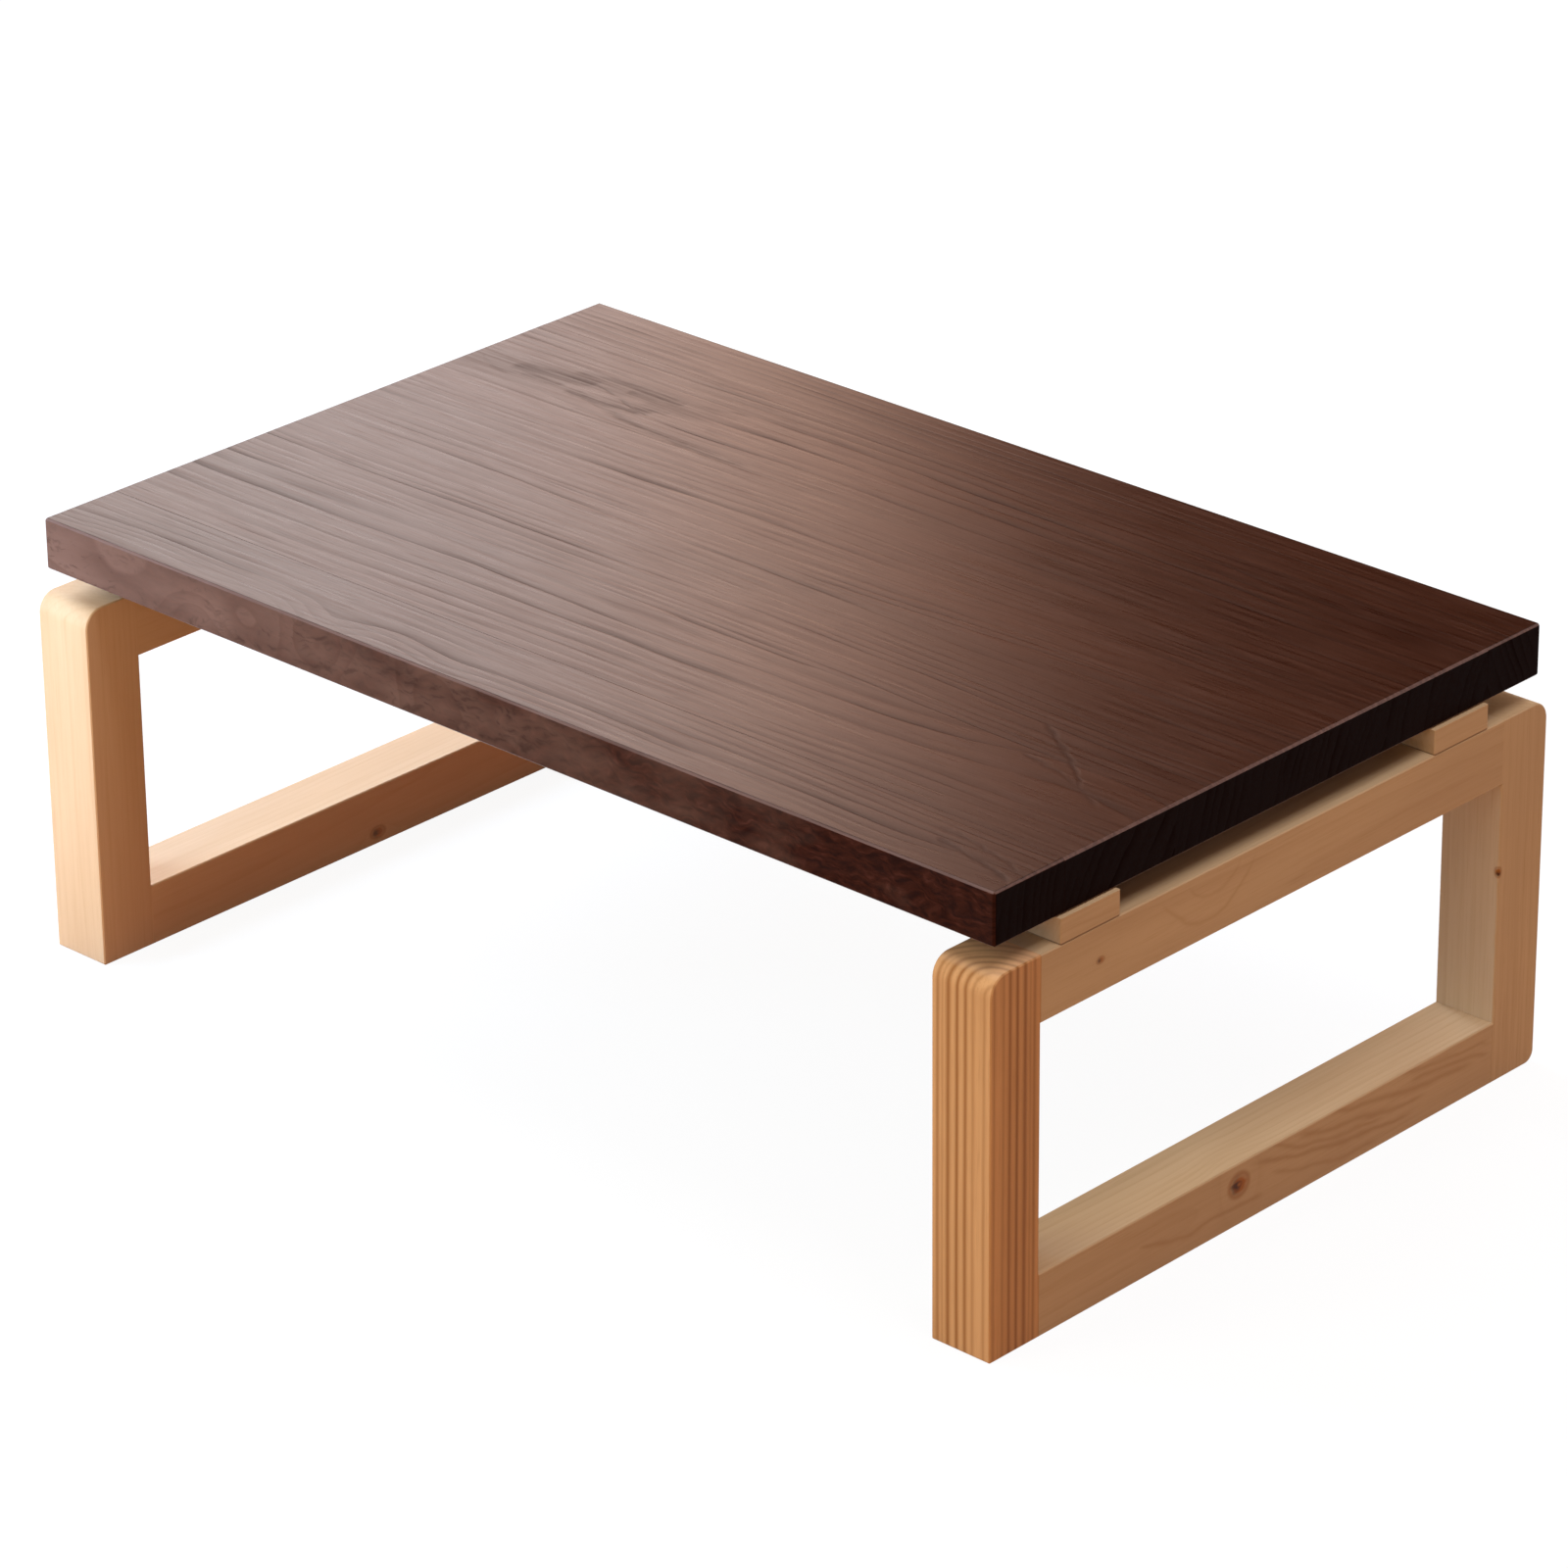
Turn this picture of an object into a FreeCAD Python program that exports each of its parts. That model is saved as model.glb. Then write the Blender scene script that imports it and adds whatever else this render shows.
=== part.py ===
import FreeCAD, Part
import math
import os

V = FreeCAD.Vector

# Folding low table: a stained pine top on two rectangular leg frames.
# X runs along the length, Y across the depth (front is minus Y), Z is up.
# The origin is on the floor under the middle of the top. Lengths are in mm.

# Table top
table_height = 300.0
top_length = 800.0
top_width = 500.0
top_thickness = 35.0
front_board_width = 60.0
board_width = 97.0
narrowest_board = 20.0
top_arris = 1.5

# Leg frames
frame_past_end = 3.0
frame_past_side = 6.0
leg_thickness = 45.0
post_width = 43.0
top_rail_height = 43.5
bottom_rail_height = 42.0
post_top_round = 13.0
front_foot_round = 1.6
rear_foot_round = 8.0
leg_arris = 0.8

# Spacer blocks between each frame and the top
block_height = 16.5
block_length = 52.0
block_depth = 45.0
block_from_post = 16.5
block_arris = 0.6

# Stub tenons on the rails, glued into mortises in the posts
tenon_length = 26.0
tenon_thickness = 15.0
tenon_shoulder = 7.0
tenon_end_space = 0.6
glue_gap = 0.05

# Folding brackets, two to a frame
bracket_from_middle = 110.0
plate_steel = 2.0
bend_outside = 2.4
pivot_inset = 10.0
pivot_drop = 13.0
pivot_diameter = 6.0
pivot_head_diameter = 10.0
pivot_head_height = 1.8
pivot_clearance = 0.05
cheek_clearance = 0.3

# Leg plate of a bracket, with two cam ears
ear_span = 39.4
cam_flat = 7.8
cam_lift = 1.5
leg_plate_below_rail_top = 3.0
leg_plate_height = 39.0
ear_root_from_plate_foot = 12.0
leg_plate_corner = 4.0
leg_screw_from_plate_foot = 17.0
leg_screw_spacing = 21.0

# Base plate of a bracket, with two cheeks
base_plate_start = 2.0
base_plate_end = 66.0
wing_start = 28.0
wing_width = 76.0
wing_corner = 6.0
lug_radius = 8.0
base_screw_margin = 8.5

# Spring leaf that snaps onto the cam flats
leaf_thickness = 1.2
leaf_side_clearance = 0.6
leaf_start = 3.2
leaf_bend_start = 33.0
leaf_bend_end = 44.0
leaf_end = 62.0
leaf_corner = 3.0
rivet_diameter = 5.0
rivet_stand_out = 1.0
rivet_from_leaf_end = 8.0
rivet_spacing = 20.0
rivet_clearance = 0.05

# Countersunk wood screws
screw_diameter = 4.0
screw_head_diameter = 8.0
screw_clearance = 0.05
base_screw_length = 25.0
leg_screw_length = 30.0
block_screw_length = 35.0

# Cuts run this far past the material
overrun = 1.0

# Places closer than this count as the same when edges are picked
same_place = 0.01

# Places that follow from the sizes above
underside = table_height - top_thickness
frame_top = underside - block_height
frame_outer = top_length / 2 + frame_past_end
frame_inner = frame_outer - leg_thickness
frame_middle = (frame_outer + frame_inner) / 2
frame_side = top_width / 2 + frame_past_side
post_inner = frame_side - post_width
opening_top = frame_top - top_rail_height
block_middle = post_inner - block_from_post - block_length / 2
cam_round = cam_flat + cam_lift
cam_half = math.sqrt(cam_round ** 2 - cam_flat ** 2)
cheek_inside = ear_span / 2 + cheek_clearance
cheek_outside = cheek_inside + plate_steel
ear_inside = ear_span / 2 - plate_steel
leg_plate_top = -block_height - leg_plate_below_rail_top
leg_plate_foot = leg_plate_top - leg_plate_height
leaf_low = cam_flat - pivot_drop
screw_head_height = (screw_head_diameter - screw_diameter) / 2
sides = {"right": 1, "left": -1}
ends = {"front": -1, "rear": 1}


def box(x0, x1, y0, y1, z0, z1):
    return Part.makeBox(x1 - x0, y1 - y0, z1 - z0, V(x0, y0, z0))


def profile(start, steps):
    # A step with one point is a line to it, and one with two points is an arc through the first.
    edges = []
    here = start
    for step in steps:
        if len(step) == 1:
            edges.append(Part.LineSegment(here, step[0]).toShape())
        else:
            edges.append(Part.Arc(here, step[0], step[1]).toShape())
        here = step[-1]
    return Part.Face(Part.Wire(edges))


def around(centre, radius, degrees):
    # A point of a circle in the XZ plane, counted from plus X towards plus Z.
    angle = math.radians(degrees)
    return V(centre.x + radius * math.cos(angle), centre.y, centre.z + radius * math.sin(angle))


def edges_where(shape, test):
    return [edge for edge in shape.Edges if test(edge.CenterOfMass)]


def save(shape, node):
    shape.exportStep("parts/" + node + ".step")


def group(shapes):
    return Part.makeCompound(shapes)


def screw(length, extra=0):
    # It stands head up along Z with the top of its head at zero. Its hole is the same body, wider by extra.
    head = screw_head_diameter / 2 + extra
    shank = screw_diameter / 2 + extra
    outline = profile(V(0, 0, 0), [
        [V(head, 0, 0)],
        [V(shank, 0, -screw_head_height)],
        [V(shank, 0, -length - extra)],
        [V(0, 0, -length - extra)],
        [V(0, 0, 0)],
    ])
    return outline.revolve(V(0, 0, 0), V(0, 0, 1), 360)


def placed(shape, turns, spot):
    moved = shape.copy()
    for axis, degrees in turns:
        moved.rotate(V(0, 0, 0), axis, degrees)
    moved.translate(spot)
    return moved


# Bracket pieces are drawn with X pointing from the rail to the middle of the table,
# Y along the pivot and Z up, from the edge where the rail's inner face meets the underside's plane.
def on_frame(shape, side, middle):
    turn = 180 if side > 0 else 0
    return placed(shape, [(V(0, 0, 1), turn)], V(side * frame_inner, middle, underside))


pivot = V(pivot_inset, 0, -pivot_drop)


def across(radius, reach):
    # A round bar along the pivot, from minus reach to plus reach.
    start = V(pivot.x, -reach, pivot.z)
    return Part.makeCylinder(radius, reach * 2, start, V(0, 1, 0))


def cheek_outline():
    start = V(base_plate_start, 0, 0)
    lug_side = around(pivot, lug_radius, 180)
    lug_low = around(pivot, lug_radius, 270)
    lug_end = around(pivot, lug_radius, 330)
    return profile(start, [
        [V(lug_side.x, 0, lug_side.z)],
        [lug_low, lug_end],
        [V(wing_start, 0, -plate_steel * 2)],
        [V(wing_start, 0, 0)],
        [start],
    ])


def base_screw_places():
    near = wing_start + base_screw_margin
    far = base_plate_end - base_screw_margin
    reach = wing_width / 2 - base_screw_margin
    return [V(x, y, -plate_steel) for x in (near, far) for y in (-reach, reach)]


def rivet_places():
    x = leaf_end - rivet_from_leaf_end
    return [V(x, -rivet_spacing / 2, 0), V(x, rivet_spacing / 2, 0)]


def base_plate():
    lug_foot = pivot.z - lug_radius
    channel = box(base_plate_start, wing_start, -cheek_outside, cheek_outside, lug_foot, 0)
    bends = edges_where(channel, lambda c: abs(c.z) < same_place and abs(c.y) > cheek_inside)
    channel = channel.makeFillet(bend_outside, bends)
    room = box(-overrun, wing_start + overrun, -cheek_inside, cheek_inside, lug_foot - overrun, -plate_steel)
    outline = cheek_outline()
    outline.translate(V(0, -cheek_outside - overrun, 0))
    silhouette = outline.extrude(V(0, (cheek_outside + overrun) * 2, 0))
    channel = channel.cut(room).common(silhouette)
    wings = box(wing_start, base_plate_end, -wing_width / 2, wing_width / 2, -plate_steel, 0)
    corners = edges_where(wings, lambda c: abs(c.z + plate_steel / 2) < same_place)
    wings = wings.makeFillet(wing_corner, corners)
    bridge = box(wing_start - overrun, wing_start + wing_corner, -cheek_inside, cheek_inside, -plate_steel, 0)
    plate = channel.fuse(wings).fuse(bridge)
    holes = [across(pivot_diameter / 2 + pivot_clearance, cheek_outside + overrun)]
    for spot in base_screw_places():
        holes.append(placed(screw(base_screw_length, screw_clearance), [(V(1, 0, 0), 180)], spot))
    for spot in rivet_places():
        radius = rivet_diameter / 2 + rivet_clearance
        holes.append(Part.makeCylinder(radius, plate_steel + overrun * 2, spot - V(0, 0, plate_steel + overrun)))
    return plate.cut(group(holes)).removeSplitter()


def ear_outline():
    # The cam has one flat on top and one facing inwards, with a round corner between them.
    foot = V(0, 0, leg_plate_foot)
    top_left = V(pivot.x - cam_half, 0, pivot.z + cam_flat)
    top_right = V(pivot.x + cam_half, 0, pivot.z + cam_flat)
    side_high = V(pivot.x + cam_flat, 0, pivot.z + cam_half)
    side_low = V(pivot.x + cam_flat, 0, pivot.z - cam_half)
    neck = around(pivot, cam_round, 180)
    return profile(foot, [
        [V(plate_steel, 0, leg_plate_foot)],
        [V(plate_steel, 0, leg_plate_foot + ear_root_from_plate_foot)],
        [side_low],
        [side_high],
        [around(pivot, cam_round, 45), top_right],
        [top_left],
        [around(pivot, cam_round, 150), neck],
        [V(neck.x, 0, leg_plate_top)],
        [V(0, 0, leg_plate_top)],
        [foot],
    ])


def leg_screw_places():
    z = leg_plate_foot + leg_screw_from_plate_foot
    return [V(plate_steel, way * leg_screw_spacing / 2, z) for way in (-1, 1)]


def leg_plate():
    reach = pivot.x + cam_round
    head = pivot.z + cam_round
    channel = box(0, reach, -ear_span / 2, ear_span / 2, leg_plate_foot, head)
    bends = edges_where(channel, lambda c: abs(c.x) < same_place and abs(c.y) > ear_inside)
    channel = channel.makeFillet(bend_outside, bends)
    room = box(plate_steel, reach + overrun, -ear_inside, ear_inside, leg_plate_foot - overrun, head + overrun)
    window = box(-overrun, reach, -ear_inside, ear_inside, leg_plate_top, head + overrun)
    outline = ear_outline()
    outline.translate(V(0, -ear_span, 0))
    silhouette = outline.extrude(V(0, ear_span * 2, 0))
    front = box(-overrun, reach + overrun, -ear_span / 2, ear_span / 2, leg_plate_foot, head + overrun)
    corners = edges_where(front, lambda c: abs(c.z - leg_plate_foot) < same_place and abs(c.y) > ear_inside)
    front = front.makeFillet(leg_plate_corner, corners)
    plate = channel.cut(room).cut(window).common(silhouette).common(front)
    holes = [across(pivot_diameter / 2 + pivot_clearance, ear_span)]
    for spot in leg_screw_places():
        holes.append(placed(screw(leg_screw_length, screw_clearance), [(V(0, 1, 0), 90)], spot))
    return plate.cut(group(holes)).removeSplitter()


def pivot_pin():
    pin = across(pivot_diameter / 2, cheek_outside)
    for way in (-1, 1):
        start = V(pivot.x, way * cheek_outside, pivot.z)
        pin = pin.fuse(Part.makeCylinder(pivot_head_diameter / 2, pivot_head_height, start, V(0, way, 0)))
    return pin.removeSplitter()


def leaf_spring():
    half = cheek_inside - leaf_side_clearance
    low_root = -plate_steel - leaf_thickness
    start = V(leaf_start, -half, leaf_low)
    outline = profile(start, [
        [V(leaf_bend_start, -half, leaf_low)],
        [V(leaf_bend_end, -half, low_root)],
        [V(leaf_end, -half, low_root)],
        [V(leaf_end, -half, -plate_steel)],
        [V(leaf_bend_end, -half, -plate_steel)],
        [V(leaf_bend_start, -half, leaf_low + leaf_thickness)],
        [V(leaf_start, -half, leaf_low + leaf_thickness)],
        [start],
    ])
    leaf = outline.extrude(V(0, half * 2, 0))
    plan = box(leaf_start, leaf_end, -half, half, leaf_low, 0)
    corners = edges_where(plan, lambda c: abs(abs(c.y) - half) < same_place and abs(c.z - leaf_low / 2) < same_place)
    leaf = leaf.common(plan.makeFillet(leaf_corner, corners))
    radius = rivet_diameter / 2 + rivet_clearance
    holes = [Part.makeCylinder(radius, -leaf_low + overrun, spot + V(0, 0, leaf_low)) for spot in rivet_places()]
    return leaf.cut(group(holes))


def leaf_rivet():
    length = plate_steel + leaf_thickness + rivet_stand_out
    return Part.makeCylinder(rivet_diameter / 2, length, V(0, 0, -length))


def bracket_middles():
    return {end: way * bracket_from_middle for end, way in ends.items()}


def base_screws(side, extra=0):
    made = []
    for middle in bracket_middles().values():
        for spot in base_screw_places():
            body = placed(screw(base_screw_length, extra), [(V(1, 0, 0), 180)], spot)
            made.append(on_frame(body, side, middle))
    return made


def leg_screws(side, extra=0):
    made = []
    for middle in bracket_middles().values():
        for spot in leg_screw_places():
            body = placed(screw(leg_screw_length, extra), [(V(0, 1, 0), 90)], spot)
            made.append(on_frame(body, side, middle))
    return made


def block_screws(side, extra=0):
    spots = [V(side * frame_middle, way * block_middle, underside) for way in ends.values()]
    return [placed(screw(block_screw_length, extra), [], spot) for spot in spots]


def tenons(side, rail_foot, rail_head, extra=0):
    # One tenon on each end of a rail. Its mortise is the same body, wider by extra and deeper by the end space.
    reach = post_inner + tenon_length + (tenon_end_space if extra else 0)
    across_half = tenon_thickness / 2 + extra
    middle = side * frame_middle
    foot = rail_foot + tenon_shoulder - extra
    head = rail_head - tenon_shoulder + extra
    return box(middle - across_half, middle + across_half, -reach, reach, foot, head)


def frame_envelope(side):
    # The frame is glued up and then rounded and eased as one, so its pieces are cut from one body.
    foot_rounds = {-1: front_foot_round, 1: rear_foot_round}
    low = min(side * frame_inner, side * frame_outer)
    body = box(low, low + leg_thickness, -frame_side, frame_side, 0, frame_top)
    tops = edges_where(body, lambda c: abs(c.z - frame_top) < same_place and abs(c.y) > post_inner)
    body = body.makeFillet(post_top_round, tops)
    for way, radius in foot_rounds.items():
        feet = edges_where(body, lambda c: abs(c.z) < same_place and c.y * way > post_inner)
        body = body.makeFillet(radius, feet)
    body = body.cut(box(low - overrun, low + leg_thickness + overrun, -post_inner, post_inner,
                        bottom_rail_height, opening_top))
    faces = edges_where(body, lambda c: abs(abs(c.x - side * frame_middle) - leg_thickness / 2) < same_place)
    return body.makeChamfer(leg_arris, faces)


def make_frame(name, side):
    body = frame_envelope(side)
    low = min(side * frame_inner, side * frame_outer) - overrun
    high = low + leg_thickness + overrun * 2
    rails = {"bottom": (0, bottom_rail_height), "top": (opening_top, frame_top)}
    mortises = group([tenons(side, foot, head, glue_gap) for foot, head in rails.values()])
    screws = group(leg_screws(side, screw_clearance) + block_screws(side, screw_clearance))
    for end, way in ends.items():
        reach = sorted([way * post_inner, way * (frame_side + overrun)])
        post = body.common(box(low, high, reach[0], reach[1], -overrun, frame_top + overrun))
        save(post.cut(mortises), name + "_" + end + "_post")
    for rail_name, (foot, head) in rails.items():
        rail = body.common(box(low, high, -post_inner, post_inner, foot - leg_arris, head + leg_arris))
        rail = rail.fuse(tenons(side, foot, head)).removeSplitter()
        save(rail.cut(screws), name + "_" + rail_name + "_rail")


def make_blocks(name, side):
    outer = side * frame_outer
    span = sorted([outer, outer - side * block_depth])
    cuts = group(block_screws(side, screw_clearance))
    for end, way in ends.items():
        low = way * block_middle - block_length / 2
        block = box(span[0], span[1], low, low + block_length, frame_top, underside)
        corners = edges_where(block, lambda c: abs(c.z - (frame_top + underside) / 2) < same_place)
        block = block.makeChamfer(block_arris, corners)
        save(block.cut(cuts), name + "_" + end + "_spacer_block")
    save(group(block_screws(side)), name + "_block_screws")


def make_brackets(name, side):
    rivets = []
    for end, middle in bracket_middles().items():
        save(on_frame(base_plate(), side, middle), name + "_" + end + "_bracket_base_plate")
        save(on_frame(leg_plate(), side, middle), name + "_" + end + "_bracket_leg_plate")
        save(on_frame(pivot_pin(), side, middle), name + "_" + end + "_bracket_pivot_pin")
        save(on_frame(leaf_spring(), side, middle), name + "_" + end + "_bracket_spring_leaf")
        rivets += [on_frame(placed(leaf_rivet(), [], spot), side, middle) for spot in rivet_places()]
    save(group(rivets), name + "_leaf_rivets")
    save(group(base_screws(side)), name + "_base_plate_screws")
    save(group(leg_screws(side)), name + "_leg_plate_screws")


def board_edges():
    edges = [-top_width / 2]
    seam = -top_width / 2 + front_board_width
    while seam < top_width / 2 - narrowest_board:
        edges.append(seam)
        seam += board_width
    return edges + [top_width / 2]


def make_top():
    # The glued-up panel is eased as one, then parted at its seams.
    half = top_length / 2
    panel = box(-half, half, -top_width / 2, top_width / 2, underside, table_height)
    panel = panel.makeChamfer(top_arris, panel.Edges)
    holes = group(base_screws(1, screw_clearance) + base_screws(-1, screw_clearance))
    panel = panel.cut(holes)
    edges = board_edges()
    for number, (front, rear) in enumerate(zip(edges, edges[1:]), start=1):
        board = panel.common(box(-half, half, front, rear, underside, table_height))
        save(board, "top_board_" + str(number))


os.makedirs("parts", exist_ok=True)
make_top()
for side_name, side_sign in sides.items():
    make_frame(side_name + "_frame", side_sign)
    make_blocks(side_name, side_sign)
    make_brackets(side_name, side_sign)
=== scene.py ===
import math

import bmesh
import bpy
from mathutils import Matrix, Vector


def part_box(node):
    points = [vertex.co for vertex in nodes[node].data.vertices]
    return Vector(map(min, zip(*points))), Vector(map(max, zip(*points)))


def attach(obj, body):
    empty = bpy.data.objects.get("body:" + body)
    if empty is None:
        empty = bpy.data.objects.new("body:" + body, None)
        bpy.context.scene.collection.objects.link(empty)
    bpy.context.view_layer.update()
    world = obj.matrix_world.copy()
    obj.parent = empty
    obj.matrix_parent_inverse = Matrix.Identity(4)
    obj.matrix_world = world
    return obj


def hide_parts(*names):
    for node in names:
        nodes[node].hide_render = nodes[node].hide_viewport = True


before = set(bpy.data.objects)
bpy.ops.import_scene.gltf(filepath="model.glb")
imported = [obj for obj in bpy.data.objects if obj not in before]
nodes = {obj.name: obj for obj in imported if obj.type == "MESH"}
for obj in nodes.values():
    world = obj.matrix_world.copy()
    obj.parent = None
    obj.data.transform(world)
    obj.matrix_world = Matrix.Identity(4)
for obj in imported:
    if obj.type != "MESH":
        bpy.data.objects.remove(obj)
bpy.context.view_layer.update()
sides = {"right": 1, "left": -1}

# Lengths are in metres. Grain runs along one axis of the table: X on the top, Y on rails, Z on posts.
SAME_POINT = 0.00001
BOARD_EASE = 0.00035
FRAME_EASE = 0.0003
PLATE_EASE = 0.0003
PIN_EASE = 0.0006
HEAD_EASE = 0.0002
BOARD_RELIEF = 0.00045
PINE_RELIEF = 0.00018
STEEL_RELIEF = 0.00004
SCREW_TIP = 0.001
SCREW_POINT = 0.004
HEAD_SKIN = 0.00005
DOME_RISE = 0.0010
FLOOR_LIFT = 0.0002

# Counts of the sides of round pieces.
SCREW_STEPS = 24
RIVET_STEPS = 28

# Colours of the stained top that all its boards share.
SIDE_BROWN = (0.045, 0.0110, 0.0070)
BLOT_DARK = (0.015, 0.0035, 0.0025)
BLOT_LIGHT = (0.090, 0.028, 0.020)
# The chamfered arrises: partly worn stain, partly a painted highlight where the edge catches light.
ARRIS_WEAR_AND_HIGHLIGHT = (0.20, 0.115, 0.095)
# Painted light on board 1's front edge, paler towards its left end where the lamps are, and the grain seen
# within it.
PAINTED_LIGHT_EDGE = (0.225, 0.126, 0.092)
PAINTED_LIGHT_GRAIN = (0.075, 0.032, 0.022)
# The near-black end grain: darker stain in the end grain, with painted shade as well.
END_STAIN_AND_SHADE = (0.004, 0.0012, 0.001)

# Colours of the pine's knots, and of the shadow in the seam under a spacer block.
KNOT_DARK = (0.085, 0.026, 0.007)
KNOT_AMBER = (0.40, 0.135, 0.030)
KNOT_RIM = (0.36, 0.140, 0.040)
SEAM_SHADOW = (0.10, 0.035, 0.012)


class Net:
    """The node tree of a material, a lamp or the world, built up by small calls."""

    def __init__(self, owner):
        owner.use_nodes = True
        self.owner = owner
        self.tree = owner.node_tree
        self.tree.nodes.clear()

    def put(self, socket, value):
        if isinstance(value, bpy.types.NodeSocket):
            self.tree.links.new(value, socket)
        else:
            socket.default_value = value

    def node(self, kind, settings=None, inputs=None):
        made = self.tree.nodes.new(kind)
        for key, value in (settings or {}).items():
            setattr(made, key, value)
        for key, value in (inputs or {}).items():
            self.put(made.inputs[key], value)
        return made

    def math(self, operation, *values):
        made = self.node("ShaderNodeMath", {"operation": operation})
        for socket, value in zip(made.inputs, values):
            self.put(socket, value)
        return made.outputs[0]

    def add(self, first, *others):
        for other in others:
            first = self.math("ADD", first, other)
        return first

    def times(self, first, second):
        return self.math("MULTIPLY", first, second)

    def hill(self, value):
        """1 where the value is 0, falling off to both sides like a bell."""
        return self.math("EXPONENT", self.times(self.times(value, value), -1.0))

    def remap(self, value, low, high, to_low=0.0, to_high=1.0, smooth=False):
        kind = "SMOOTHSTEP" if smooth else "LINEAR"
        made = self.node("ShaderNodeMapRange", {"interpolation_type": kind, "clamp": True})
        for socket, number in zip(made.inputs, (value, low, high, to_low, to_high)):
            self.put(socket, number)
        return made.outputs[0]

    def place(self):
        return self.node("ShaderNodeTexCoord").outputs["Object"]

    def split(self, vector):
        return self.node("ShaderNodeSeparateXYZ", inputs={0: vector}).outputs

    def join(self, x, y, z):
        return self.node("ShaderNodeCombineXYZ", inputs={0: x, 1: y, 2: z}).outputs[0]

    def noise(self, vector, scale=1.0, detail=2.0, roughness=0.5):
        made = self.node("ShaderNodeTexNoise", {"noise_dimensions": "3D"})
        for key, value in (("Vector", vector), ("Scale", scale), ("Detail", detail),
                           ("Roughness", roughness)):
            self.put(made.inputs[key], value)
        return made.outputs[0]

    def random(self, number):
        made = self.node("ShaderNodeTexWhiteNoise", {"noise_dimensions": "1D"}, {"W": number})
        return made.outputs["Value"]

    def mix(self, factor, first, second, blend="MIX"):
        made = self.node("ShaderNodeMix", {"data_type": "RGBA", "blend_type": blend})
        for index, value in ((0, factor), (6, first), (7, second)):
            self.put(made.inputs[index], value)
        return made.outputs[2]

    def bump(self, height, strength, distance):
        inputs = {"Height": height, "Strength": strength, "Distance": distance}
        return self.node("ShaderNodeBump", inputs=inputs).outputs["Normal"]

    def surface(self, **values):
        shader = self.node("ShaderNodeBsdfPrincipled")
        for key, value in values.items():
            self.put(shader.inputs[key.replace("_", " ")], value)
        output = self.node("ShaderNodeOutputMaterial")
        self.put(output.inputs["Surface"], shader.outputs[0])
        return self.owner


def material_net(name):
    return Net(bpy.data.materials.new(name))


def tint(r, g, b):
    return (r, g, b, 1.0)


def smudge(net, along, first, second, seed, stretch=(3.0, 40.0, 40.0), detail=3.0):
    """Noise drawn out along the grain."""
    spot = net.join(net.add(net.times(along, stretch[0]), seed), net.times(first, stretch[1]),
                    net.times(second, stretch[2]))
    return net.noise(spot, 1.0, detail)


def ring_lines(net, grain, seed):
    """Year rings round a pith line: the dark line of each ring from 0 to 1, and the grain's own axes."""
    x, y, z = net.split(net.place())
    along, first, second = {"X": (x, y, z), "Y": (y, x, z), "Z": (z, x, y)}[grain["axis"]]
    sway = grain.get("sway", 0.003)
    slow = net.remap(smudge(net, along, first, second, seed, (2.2, 9.0, 9.0), 1.0), 0.3, 0.7, -sway, sway)
    fine = net.remap(smudge(net, along, first, second, seed + 4.0, (9.0, 60.0, 60.0), 2.0),
                     0.3, 0.7, -sway * 0.16, sway * 0.16)
    lean_first, lean_second = grain.get("lean", (0.0, 0.0))
    from_first = net.add(first, net.times(along, lean_first), -grain["pith"][0], slow)
    from_second = net.add(second, net.times(along, lean_second), -grain["pith"][1])
    flat = net.times(from_first, grain.get("squeeze", 1.0))
    radius = net.math("SQRT", net.add(net.times(flat, flat), net.times(from_second, from_second)))
    radius = net.add(radius, fine)
    for knot in grain.get("knots", ()):
        radius = net.add(radius, net.times(knot_field(net, along, first, second, knot), knot["push"]))
    if "rings" in grain:
        line = 0.0
        for place, width, strength in grain["rings"]:
            off = net.math("DIVIDE", net.add(radius, -place), width)
            line = net.add(line, net.times(net.hill(off), strength))
        return line, along, first, second
    phase = net.math("DIVIDE", radius, grain["spacing"])
    phase = net.add(phase, net.times(net.noise(net.join(net.times(phase, 0.31), seed, 0.0), 1.0, 1.0), 2.4))
    part = net.math("FRACT", phase)
    rise = net.math("POWER", part, grain.get("sharp", 3.2))
    line = net.times(rise, net.remap(part, 0.90, 1.0, 1.0, 0.0, smooth=True))
    year = net.remap(net.random(net.math("FLOOR", phase)), 0.0, 1.0, grain.get("faintest", 0.35), 1.0)
    return net.times(line, year), along, first, second


def knot_distance(net, along, first, second, knot):
    """How far a point is from the knot's axis, counted in knot radii, longer along the grain."""
    spot_along, spot_cross = knot["spot"]
    cross, inward = {"first": (first, second), "second": (second, first)}[knot["cross"]]
    far_along = net.math("DIVIDE", net.add(along, -spot_along), knot["radius"] * knot.get("long", 1.5))
    far_cross = net.math("DIVIDE", net.add(cross, -spot_cross), knot["radius"])
    squares = net.add(net.times(far_along, far_along), net.times(far_cross, far_cross))
    if "face" in knot:
        sunk = net.math("ABSOLUTE", net.add(inward, -knot["face"]))
        past = net.math("DIVIDE", net.math("MAXIMUM", net.add(sunk, -knot["deep"]), 0.0), knot["radius"])
        squares = net.add(squares, net.times(past, past))
    return net.math("SQRT", squares)


def knot_field(net, along, first, second, knot):
    """A hill over the knot that makes the rings flow round it."""
    far = net.times(knot_distance(net, along, first, second, knot), 1.0 / knot.get("reach", 2.2))
    return net.hill(far)


def knot_core(net, along, first, second, knot, ragged):
    """1 in the knot's dark core, with a ragged rim."""
    far = net.add(knot_distance(net, along, first, second, knot), net.times(ragged, 0.5))
    return net.remap(far, 1.25, 0.75, 0.0, 1.0, smooth=True)


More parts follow.
